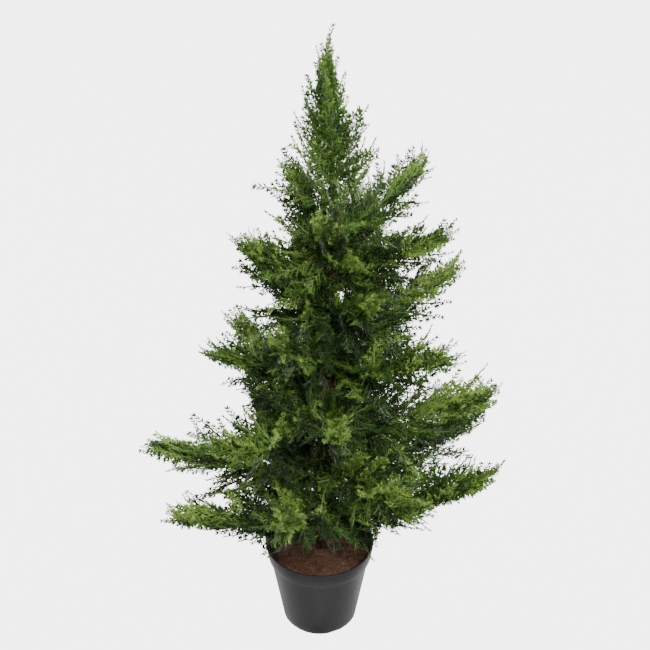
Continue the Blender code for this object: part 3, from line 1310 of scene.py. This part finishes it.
    def spray(
        self,
        pattern: SprayPattern,
        twigs: list[tuple[float, Piece]],
        curl: float,
        rng: random.Random,
    ) -> Piece:
        """One flat spray along X.

        Args:
            pattern: How it is laid out.
            twigs: Length and object of each twig that is repeated.
            curl: How far it bends out of its plane, in degrees.
            rng: Where its small differences come from.

        Returns:
            The spray.
        """
        rachis_length = pattern.length * self.rachis_share
        rachis = stalk("rachis", rachis_length, self.rachis_radii, 7, 4)
        start_leaf_data(rachis, stem=True)
        self.set_row(rachis, self.palette_rows)
        parts = [rachis]
        for i in range(pattern.twigs + 1):
            last = i == pattern.twigs
            share = 1.0 if last else blend_value(*self.twig_shares, i / (pattern.twigs - 1))
            angle = blend_value(pattern.root_angle, pattern.tip_angle, share)
            angle += rng.gauss(0.0, self.twig_angle_spread)
            side = 0.0 if last else (1.0 if i % 2 else -1.0)
            reach = pattern.half_width / math.sin(math.radians(angle)) * self.envelope(share)
            reach *= rng.uniform(*self.twig_reaches)
            if last:
                reach = pattern.length * self.end_twig_share + self.leaflet_length
            length, master = min(twigs, key=lambda item: abs(item[0] - reach))
            roll = turned(rng.gauss(0.0, self.twig_roll_spread), "X")
            lift = turned(rng.gauss(*self.twig_lift), "Y")
            place = Matrix.Translation((rachis_length * share, 0.0, 0.0))
            place = place @ turned(side * angle, "Z") @ lift @ roll
            twig = copied(master, place @ Matrix.Scale(reach / length, 4))
            row = rng.randrange(self.palette_rows)
            edit_leaf_data(twig, Channel.ROW, 0.0, row / (self.palette_rows - 1))
            self.set_row(twig, row)
            parts.append(twig)
        made = joined("spray", parts)
        bend(made, curl, upwards=True)
        bend(made, rng.gauss(0.0, self.side_curl_spread), upwards=False)
        return made

    def build(self) -> dict[Form, list[Piece]]:
        """Moulds every spray master, by kind."""
        rng = random.Random(self.seed)
        leaflet = self.leaflet()
        twigs = [
            (length, self.twig(leaflet, length, pairs, rng))
            for length, pairs in self.twig_sizes
            for _ in range(self.twig_copies)
        ]
        sprays = {
            form: [self.spray(pattern, twigs, curl, rng) for curl in pattern.curls]
            for form, pattern in self.patterns.items()
        }
        discard([leaflet, *(twig for _, twig in twigs)])
        return sprays


# ---------------------------------------------------------------- wires and foliage


@dataclass(frozen=True)
class Sprig:
    """Where one spray sits on its wire."""

    share: float
    yaw: float
    pitch: float
    roll: float
    length: float
    tint: Tint
    slim: bool = False

    def turn(self) -> Matrix:
        """The spray's own turn, from the wire's direction."""
        turn = turned(self.yaw, "Z")
        turn = turn @ turned(-self.pitch, "Y")
        return turn @ turned(self.roll, "X")


def splayed(splay: float, round_wire: float) -> tuple[float, float]:
    """The yaw and pitch of a spray that leaves its wire.

    Args:
        splay: Its angle from the wire, in degrees.
        round_wire: Where it stands round the wire, in degrees: 0 at one side, 90 on top.

    Returns:
        The yaw and the pitch, in degrees.
    """
    away, turn = math.radians(splay), math.radians(round_wire)
    yaw = math.atan2(math.sin(away) * math.cos(turn), math.cos(away))
    return math.degrees(yaw), math.degrees(math.asin(math.sin(away) * math.sin(turn)))


@dataclass
class Wire:
    """A bent wire on its joint, from its round root to its tip."""

    body: str
    curl: float = 14.0
    reach: float = 0.80
    root_radius: float = 0.0020
    tip_radius: float = 0.0010
    ball_radius: float = 0.0026
    ball_angles: tuple = (22.0, 128.0)
    ball_rings: int = 6
    neck: float = 2.2
    rings: int = 14
    sides: int = 12

    def __post_init__(self) -> None:
        """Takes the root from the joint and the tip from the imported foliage."""
        joint = next(j for j in frame["joints"] if j["child"] == self.body)
        self.root = Vector(joint["pos_m"])
        points = [v.co for v in frame["nodes"][f"{self.body}_sprays"].data.vertices]
        self.tip = max(points, key=lambda p: (p - self.root).length).copy()
        self.length = (self.tip - self.root).length
        self.rise = math.degrees(math.asin((self.tip.z - self.root.z) / self.length))
        ahead = (self.tip - self.root).normalized()
        side = Vector(joint["axis"]).normalized()
        up = ahead.cross(side)
        if up.z < 0.0 or (abs(up.z) < 0.3 and up.x > 0.0):
            side, up = -side, -up
        turn = Matrix((ahead, side, up)).transposed().to_4x4()
        self.frame = Matrix.Translation(self.root) @ turn

    def along(self, share: float) -> Matrix:
        """The wire's own place and direction.

        Args:
            share: The place on its line, 0 at the root and 1 at the bough's tip.

        Returns:
            A frame there with X along the wire and Z on its upper side.
        """
        bend = math.radians(self.curl)
        turn = bend * share
        radius = self.length / bend
        arc = Vector((radius * math.sin(turn), 0.0, radius * (1.0 - math.cos(turn))))
        lie = Matrix.Translation(arc) @ Matrix.Rotation(-turn, 4, "Y")
        return self.frame @ Matrix.Rotation(bend / 2, 4, "Y") @ lie

    def build(self, finish: Material) -> Piece:
        """Draws the wire out from its ball and bends it.

        Args:
            finish: The coating.

        Returns:
            The wire, riding its body.
        """
        rings = []
        for i in range(self.ball_rings):
            angle = math.radians(blend_value(*self.ball_angles, i / (self.ball_rings - 1)))
            rings.append((self.ball_radius * math.sin(angle), -self.ball_radius * math.cos(angle)))
        start = self.neck * self.ball_radius
        end = self.length * self.reach
        for i in range(self.rings + 1):
            share = i / self.rings
            radius = blend_value(self.root_radius, self.tip_radius, share)
            rings.append((radius, blend_value(start, end, share)))
        made = laid_along_x(revolved(f"{self.body}_stem", rings, self.sides))
        for vertex in made.data.vertices:
            bent = vertex.co.x > start / 2
            across = Vector((0.0 if bent else vertex.co.x, vertex.co.y, vertex.co.z))
            vertex.co = self.along(vertex.co.x / self.length if bent else 0.0) @ across
        smooth(made, 50.0)
        painted(made, finish)
        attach(made, self.body)
        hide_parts(f"{self.body}_wire")
        return made


@dataclass
class Foliage:
    """The sprays of one bough, set on its wire and joined into one piece."""

    wire: Wire
    moulds: dict
    patterns: dict
    finish: Material
    palette_columns: int = 7
    tint_spread: float = 0.04

    def master_for(self, sprig: Sprig, rng: random.Random) -> tuple[float, Piece]:
        """The spray kind nearest in length, and one of its masters.

        Args:
            sprig: The place to fill.
            rng: Where the choice comes from.

        Returns:
            The master's length and the master.
        """
        forms = [Form.SLIM] if sprig.slim else [Form.LONG, Form.MEDIUM, Form.SHORT]
        form = min(forms, key=lambda f: abs(self.patterns[f].length - sprig.length))
        master = rng.choice(self.moulds[form])
        return max(vertex.co.x for vertex in master.data.vertices), master

    def build(self, sprigs: list[Sprig], rng: random.Random) -> Piece:
        """Sets every spray and joins them.

        Args:
            sprigs: The sprays' places.
            rng: Where their small differences come from.

        Returns:
            The bough's foliage.
        """
        rows = math.ceil(len(sprigs) / self.palette_columns)
        cell = (1.0 / self.palette_columns, 1.0 / rows)
        pieces = []
        for index, sprig in enumerate(sprigs):
            length, master = self.master_for(sprig, rng)
            scale = Matrix.Scale(sprig.length / length, 4)
            spray = copied(master, self.wire.along(sprig.share) @ sprig.turn() @ scale)
            # The sprig's green, which on the boughs carries painted shade and painted light, with a
            # small random spread.
            tint = sprig.tint.value + rng.gauss(0.0, self.tint_spread)
            edit_leaf_data(spray, Channel.TINT, 0.0, tint)
            row, column = divmod(index, self.palette_columns)
            edit_palette_map(spray, cell, (column * cell[0], row * cell[1]))
            pieces.append(spray)
        made = joined(f"{self.wire.body}_foliage", pieces)
        painted(made, self.finish)
        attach(made, self.wire.body)
        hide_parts(f"{self.wire.body}_sprays")
        return made


@dataclass
class Bough:
    """A side bough: flat pairs of sprays, more sprays all round its wire, and a pointed end.

    The pairs lie left and right of the wire and give the bough its flat spread. The round sprays
    fill it, the inner ones hide the trunk, and three at the point end it.
    """

    wire: Wire
    rng: random.Random
    lowest: float
    rim_radius: float = 0.075
    full_length: float = 0.22
    fits: tuple = (0.82, 1.1)
    size_spread: tuple = (0.85, 1.15)
    shortest: float = 0.045
    pair_pitch: float = 0.024
    least_pairs: int = 5
    pair_shares: tuple = (0.12, 0.80)
    pair_yaws: tuple = (46.0, 22.0)
    pair_yaw_spread: float = 6.0
    pair_pitches: tuple = (4.0, 10.0)
    pair_roll_spread: float = 28.0
    pair_sizes: tuple = (0.112, 0.072)
    round_pitch: float = 0.0050
    round_shares: tuple = (0.04, 0.78)
    round_splays: tuple = (60.0, 26.0)
    round_splay_spread: float = 7.0
    round_sizes: tuple = (0.098, 0.070)
    round_turn: float = GOLDEN_TURN
    taper: float = 0.68
    blunt: float = 0.012
    least_splay: float = 5.0
    splay_step: float = 3.0
    end_share: float = 0.56
    end_size: float = 0.44
    point_share: float = 0.48
    point_size: float = 0.42
    point_yaws: tuple = (-12.0, 13.0)
    inner_count: int = 16
    inner_share: float = 0.09
    inner_yaw: float = 90.0
    inner_yaw_spread: float = 6.0
    inner_slopes: tuple = (-10.0, 60.0)
    inner_sizes: tuple = (0.085, 0.130)
    # Mostly dark greens as painted shade inside the crown, with a few lighter tones.
    inner_shade_tints: tuple = (Tint.SHADE, Tint.DEEP, Tint.DEEP, Tint.MID, Tint.MID, Tint.FRESH)
    front_lift: float = 0.60
    left_lift: float = 0.30
    right_lift: float = 0.80
    least_lift: float = 6.0
    # Painted shade and painted light: how a spray's place out along the wire and its pitch set its
    # green.
    painted_light_by_share: float = 1.1
    painted_light_by_pitch: float = 120.0
    tint_shift: tuple = (-0.06, 0.32)
    tint_steps: tuple = (0.10, 0.40, 0.70, 1.05)

    def tint(self, share: float, pitch: float) -> Tint:
        """A spray's green: painted shade near the trunk and beneath, painted light outside and
        above, and a random tone of its own.

        Args:
            share: Its place on the wire.
            pitch: How far it points up, in degrees.

        Returns:
            The green.
        """
        # Painted light and shade from place and pitch; the random shift is the spray's own tone.
        outward = self.painted_light_by_share * share + pitch / self.painted_light_by_pitch
        outward += self.rng.gauss(*self.tint_shift)
        return list(Tint)[sum(outward >= step for step in self.tint_steps)]

    def rolled(self) -> float:
        """A roll in degrees that may turn a spray's face any way."""
        return self.rng.uniform(-90.0, 90.0)

    def sized(self, sizes: tuple, share: float) -> float:
        """A spray's length at a share of this bough's wire."""
        fit = min(self.fits[1], max(self.fits[0], self.wire.length / self.full_length))
        return blend_value(*sizes, share) * fit * self.rng.uniform(*self.size_spread)

    def drawn_in(self, share: float, splay: float, length: float) -> float:
        """Narrows a splay until the spray stays inside the bough's pointed outline.

        Args:
            share: The spray's place on the wire.
            splay: Its wished angle from the wire, in degrees.
            length: The spray's length.

        Returns:
            The angle that it may have.
        """
        along = (1.02 - share) * self.wire.length
        while splay > self.least_splay:
            left = along - length * math.cos(math.radians(splay))
            if length * math.sin(math.radians(splay)) < self.blunt + self.taper * max(0.0, left):
                return splay
            splay -= self.splay_step
        return splay

    def lowest_at(self, place: Vector) -> float:
        """How low a spray's tip may hang: the skirt rises outwards and towards the front.

        Args:
            place: Where the tip is.

        Returns:
            The lowest height allowed there.
        """
        lift = self.right_lift if place.x > 0.0 else self.left_lift
        outside = max(0.0, abs(place.x) - self.rim_radius)
        return self.lowest + lift * outside + self.front_lift * max(0.0, -place.y)

    def settled(self, sprig: Sprig) -> Sprig:
        """Lifts a spray until its tip is no lower than the skirt.

        Args:
            sprig: The spray as it was laid out.

        Returns:
            The same spray, pitched up as far as it has to be.
        """
        while sprig.pitch < 90.0:
            tip = self.wire.along(sprig.share) @ sprig.turn() @ Vector((sprig.length, 0.0, 0.0))
            if tip.z > self.lowest_at(tip):
                return sprig
            sprig = replace(sprig, pitch=sprig.pitch + self.least_lift)
        return sprig

    def length_at(self, sizes: tuple, share: float) -> float:
        """A spray's length at a share of the wire, short enough to end at the bough's tip."""
        return min(self.sized(sizes, share), max((1.03 - share) * self.wire.length, self.shortest))

    def pair(self, share: float) -> list[Sprig]:
        """A spray to each side of the wire.

        Args:
            share: The pair's place on the wire.

        Returns:
            The two places.
        """
        made = []
        for side in (-1.0, 1.0):
            length = self.length_at(self.pair_sizes, share)
            yaw = blend_value(*self.pair_yaws, share) + self.rng.gauss(0.0, self.pair_yaw_spread)
            yaw = side * self.drawn_in(share, yaw, length)
            pitch = self.rng.gauss(*self.pair_pitches)
            roll = self.rng.gauss(0.0, self.pair_roll_spread)
            at = share + side * self.pair_pitch / self.wire.length / 4
            made.append(Sprig(at, yaw, pitch, roll, length, self.tint(share, pitch)))
        return made

    def round_wire(self) -> list[Sprig]:
        """Sprays all round the wire, each a golden angle on from the last."""
        span = (self.round_shares[1] - self.round_shares[0]) * self.wire.length
        count = round(span / self.round_pitch)
        made = []
        for i in range(count):
            share = blend_value(*self.round_shares, i / (count - 1))
            length = self.length_at(self.round_sizes, share)
            splay = blend_value(*self.round_splays, share)
            splay += self.rng.gauss(0.0, self.round_splay_spread)
            yaw, pitch = splayed(self.drawn_in(share, splay, length), self.round_turn * i)
            made.append(Sprig(share, yaw, pitch, self.rolled(), length, self.tint(share, pitch)))
        return made

    def point(self) -> list[Sprig]:
        """The three sprays that make the bough's pointed end."""
        length = self.wire.length
        roll = self.rng.gauss(0.0, 20.0)
        made = [Sprig(self.end_share, 0.0, 3.0, roll, self.end_size * length, self.tint(0.9, 0.0))]
        for yaw in self.point_yaws:
            pitch = self.rng.gauss(4.0, 8.0)
            roll = self.rng.gauss(0.0, 30.0)
            size = self.point_size * length
            made.append(Sprig(self.point_share, yaw, pitch, roll, size, self.tint(0.8, pitch)))
        return made

    def inner(self) -> list[Sprig]:
        """Sprays that fan out and up from the wire's root and hide the trunk, mostly in dark greens
        as painted shade.
        """
        made = []
        for i in range(self.inner_count):
            yaw = blend_value(-self.inner_yaw, self.inner_yaw, i / (self.inner_count - 1))
            yaw += self.rng.gauss(0.0, self.inner_yaw_spread)
            slope = self.rng.uniform(*self.inner_slopes)
            pitch = slope - self.wire.rise * math.cos(math.radians(yaw))
            tint = self.rng.choice(self.inner_shade_tints)
            length = self.sized(self.inner_sizes, self.rng.random())
            made.append(Sprig(self.inner_share, yaw, pitch, self.rolled(), length, tint))
        return made

    def sprigs(self) -> list[Sprig]:
        """The places of all of the bough's sprays."""
        span = (self.pair_shares[1] - self.pair_shares[0]) * self.wire.length
        pairs = max(self.least_pairs, round(span / self.pair_pitch))
        made = [*self.point(), *self.inner(), *self.round_wire()]
        for i in range(pairs):
            made += self.pair(blend_value(*self.pair_shares, i / (pairs - 1)))
        return [self.settled(sprig) for sprig in made]


@dataclass
class Leader:
    """The upright top: sprays close round a straight wire, ending in slim sprigs."""

    wire: Wire
    rng: random.Random
    count: int = 66
    shares: tuple = (0.0, 0.64)
    splays: tuple = (62.0, 8.0)
    splay_power: float = 0.55
    splay_spread: float = 3.0
    sizes: tuple = (0.104, 0.064)
    size_spread: tuple = (0.9, 1.1)
    turn: float = GOLDEN_TURN
    roll_spread: float = 35.0
    tints: tuple = (Tint.DEEP, Tint.MID, Tint.MID, Tint.FRESH)
    slim_from: float = 0.80
    top_lean: float = 4.0
    points: tuple = (
        (0.0, 0.0, 60.0, 0.37, Tint.MID),
        (3.0, 2.0, 110.0, 0.32, Tint.FRESH),
        (-4.0, -3.0, 85.0, 0.28, Tint.MID),
    )

    def sprigs(self) -> list[Sprig]:
        """The places of all of the leader's sprays."""
        made = []
        for i in range(self.count):
            share = i / (self.count - 1)
            splay = blend_value(*self.splays, share**self.splay_power)
            splay += self.rng.gauss(0.0, self.splay_spread)
            yaw, pitch = splayed(splay, self.turn * i)
            pitch += self.top_lean * share
            length = blend_value(*self.sizes, share) * self.rng.uniform(*self.size_spread)
            tint = self.rng.choice(self.tints)
            at = blend_value(*self.shares, share)
            roll = self.turn * i + 90.0 + self.rng.gauss(0.0, self.roll_spread)
            made.append(Sprig(at, yaw, pitch, roll, length, tint, slim=share > self.slim_from))
        for yaw, pitch, roll, size, tint in self.points:
            lean = pitch + self.top_lean
            length = size * self.wire.length
            made.append(Sprig(self.shares[1], yaw, lean, roll, length, tint, slim=True))
        return made


# ---------------------------------------------------------------- studio


@dataclass
class Studio:
    """A white studio: pale floor, soft light all round, a large soft key and two side lights."""

    aim_share: float = 0.5451
    aim_side: float = 0.0059
    distance: float = 2.1814
    pitch: float = 33.17
    lens: float = 94.8
    shift: float = 0.0016
    floor_size: float = 12.0
    floor_grey: float = 0.55
    floor_roughness: float = 0.9
    white: float = 5.2
    white_share: float = 0.95
    fill: float = 0.26
    key_power: float = 98.0
    key_place: tuple = (0.5, -1.7, 2.4)
    side_power: float = 72.0
    side_place: tuple = (1.5, 1.1, 0.8)
    light_size: float = 0.9

    def camera(self) -> None:
        """Sets the camera on the tree's middle, looking down on it."""
        angle = math.radians(self.pitch)
        aim = Vector((self.aim_side, 0.0, self.aim_share * CAD_BOX[1].z))
        back = Vector((0.0, -math.cos(angle), math.sin(angle)))
        tilt = (math.pi / 2 - angle, 0.0, 0.0)
        bpy.ops.object.camera_add(location=aim + back * self.distance, rotation=tilt)
        made = active()
        made.name = "studio_camera"
        made.data.lens = self.lens
        made.data.shift_x = self.shift
        made.data.clip_start = 0.05
        bpy.context.scene.camera = made

    def white_to_camera(self, graph: Graph, shader: Socket) -> Socket:
        """Mixes a shader with plain white for what the camera sees directly.

        Args:
            graph: The material's or the world's graph.
            shader: What lights the object.

        Returns:
            The mixed shader's output.
        """
        path = graph.add("LightPath")
        share = graph.maths("MULTIPLY", path.outputs["Is Camera Ray"], self.white_share)
        glow = graph.add("Emission", {"Color": (*WHITE, 1.0), "Strength": self.white})
        return graph.add("MixShader", {0: share, 1: shader, 2: glow.outputs[0]}).outputs[0]

    def floor(self) -> None:
        """Lays the pale floor."""
        bpy.ops.object.select_all(action="DESELECT")
        bpy.ops.mesh.primitive_plane_add(size=self.floor_size)
        made = named(active(), "studio_floor")
        material, graph, shader = new_material("studio_floor")
        grey = self.floor_grey
        shader.inputs["Base Color"].default_value = (grey, grey, grey, 1.0)
        shader.inputs["Roughness"].default_value = self.floor_roughness
        output = material.node_tree.nodes["Material Output"]
        graph.link(self.white_to_camera(graph, shader.outputs[0]), output.inputs["Surface"])
        made.data.materials.append(material)

    def lights(self) -> None:
        """Lights the world evenly, with a key above the front and a light behind each side."""
        world = bpy.data.worlds.new("studio")
        bpy.context.scene.world = world
        world.use_nodes = True
        graph = Graph(world.node_tree)
        background = world.node_tree.nodes["Background"]
        background.inputs["Color"].default_value = (*WHITE, 1.0)
        background.inputs["Strength"].default_value = self.fill
        output = world.node_tree.nodes["World Output"]
        graph.link(self.white_to_camera(graph, background.outputs[0]), output.inputs["Surface"])
        middle = Vector((0.0, 0.0, CAD_BOX[1].z / 2))
        across, back, up = self.side_place
        for name, place, power in (
            ("key_light", self.key_place, self.key_power),
            ("left_light", (-across, back, up), self.side_power),
            ("right_light", (across, back, up), self.side_power),
        ):
            where = Vector(place)
            bpy.ops.object.light_add(type="AREA", location=where)
            light = active()
            light.name = name
            light.data.energy = power
            light.data.size = self.light_size
            light.rotation_euler = (middle - where).to_track_quat("-Z", "Y").to_euler()

    def build(self) -> None:
        """Sets up the camera, the lights and the floor."""
        self.camera()
        self.lights()
        self.floor()


# ---------------------------------------------------------------- tree


def dress_hidden_nodes(effects: SharedEffects) -> None:
    """Gives the rod and the cement plug, which keep their shape, their finishes.

    Args:
        effects: The shared shader groups.
    """
    for node, finish in (("trunk_rod", RodSteel()), ("ballast", CastCement())):
        frame["nodes"][node].material_slots[0].material = finish.build(effects)
        LOG.info("dressed %s", node)


def report(piece: Piece) -> None:
    """Logs a finished piece with its triangle count."""
    faces = sum(len(polygon.vertices) - 2 for polygon in piece.data.polygons)
    LOG.info("made %s, %d triangles", piece.name, faces)


def build_boughs(effects: SharedEffects, lowest: float) -> None:
    """Builds every bough and the leader, each on its own body.

    Args:
        effects: The shared shader groups.
        lowest: The level that no spray's tip hangs below.
    """
    leaf = CedarPlastic().build(effects)
    coat = WirePlastic().build(effects)
    workshop = SprayMoulds()
    moulds = workshop.build()
    for index, body in enumerate(name for name in frame["bodies"] if name != "pot_and_trunk"):
        rng = random.Random(FIRST_BOUGH_SEED + index)
        upright = body == "leader"
        wire = Wire(body, curl=4.0 if upright else rng.uniform(8.0, 20.0))
        layout = Leader(wire, rng) if upright else Bough(wire, rng, lowest)
        report(wire.build(coat))
        report(Foliage(wire, moulds, workshop.patterns, leaf).build(layout.sprigs(), rng))
    discard([master for masters in moulds.values() for master in masters])


def main() -> None:
    """Builds the studio and the tree, piece by piece."""
    logging.basicConfig(level=logging.INFO, format="%(message)s")
    effects = SharedEffects()
    Studio().build()
    pot = NurseryPot(PotPlastic().build(effects))
    report(pot.build())
    trunk = BarkTrunk(BarkPlastic().build(effects), [Vector(j["pos_m"]) for j in frame["joints"]])
    coir = CoirPacking(CoirFibre().build(effects), pot)
    report(coir.build(trunk.clearance(), trunk.foot_radius + COIR_TO_TRUNK))
    report(trunk.build())
    dress_hidden_nodes(effects)
    build_boughs(effects, pot.height + RIM_CLEARANCE)


if __name__ == "__main__":
    main()
